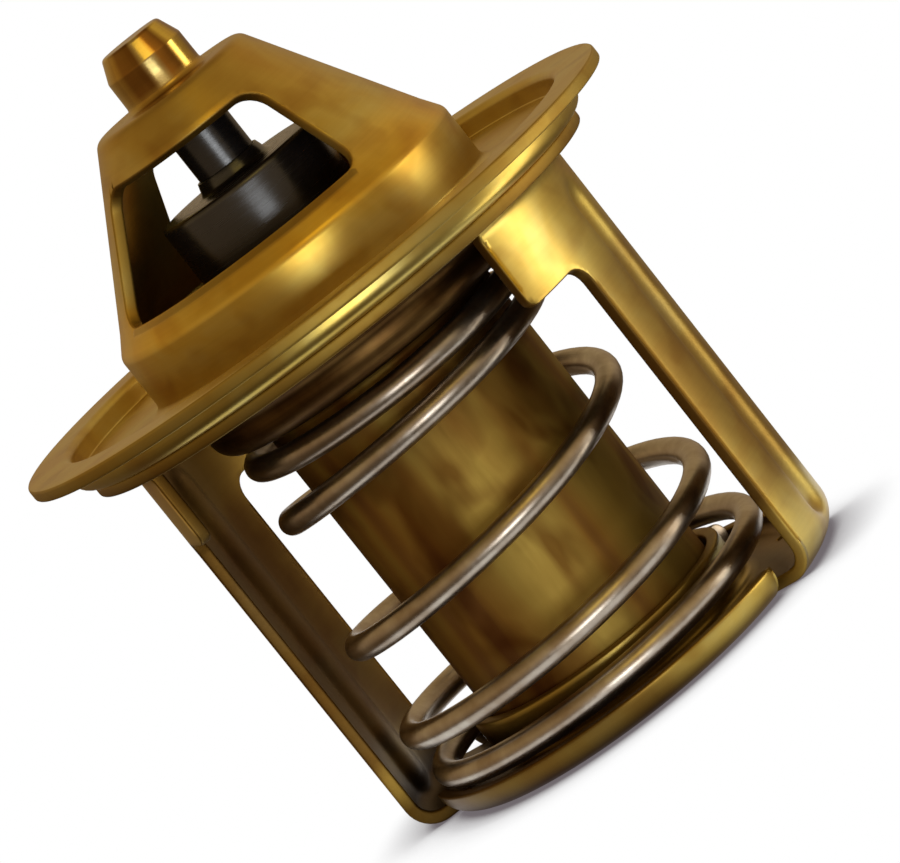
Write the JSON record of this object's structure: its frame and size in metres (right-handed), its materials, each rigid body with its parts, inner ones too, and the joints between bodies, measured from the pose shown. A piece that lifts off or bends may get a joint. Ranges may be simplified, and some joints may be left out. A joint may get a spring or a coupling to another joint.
{
  "type": "engine thermostat",
  "caption": "Wax-pellet engine coolant thermostat with a flanged brass housing, windowed cone, legged frame, coil spring and sliding valve.",
  "frame": {"origin": "on the flow axis, in the plane of the spring tray's underside", "axes": "+Z along the flow axis from the spring tray to the nipple; the two frame legs and the two housing arms lie on the X axis, the flow windows on the Y axis"},
  "size_m": [0.054, 0.054, 0.0617],
  "materials": {
    "pressed_brass": "drawn sheet brass, slightly tarnished",
    "element_brass": "drawn brass cup, streaked tarnish",
    "valve_brass": "dull brown brass",
    "spring_steel": "plain drawn stainless wire",
    "rod_black": "glossy black rod",
    "boot_black": "glossy black moulding",
    "seal_rubber": "matt black rubber",
    "backup_white": "plain white fluoropolymer",
    "wax": "copper-filled wax"
  },
  "bodies": {
    "fixed_frame": {"upper_housing": "pressed_brass", "lower_frame": "pressed_brass", "main_spring": "spring_steel", "piston": "rod_black"},
    "element": {"main_valve": "valve_brass", "valve_seal": "seal_rubber", "element_case": "element_brass", "wax_charge": "wax", "seal_spool": "seal_rubber", "backup_ring": "backup_white", "guide_member": "element_brass", "valve_retainer": "spring_steel", "guide_boot": "boot_black"}
  },
  "joints": [
    {"name": "valve_lift", "type": "slide", "parent": "fixed_frame", "child": "element", "axis": [0, 0, -1], "range_m": [0, 0.0085], "stiffness_N_per_m": 2500, "springref_m": -0.02, "deforming": ["main_spring"]}
  ]
}
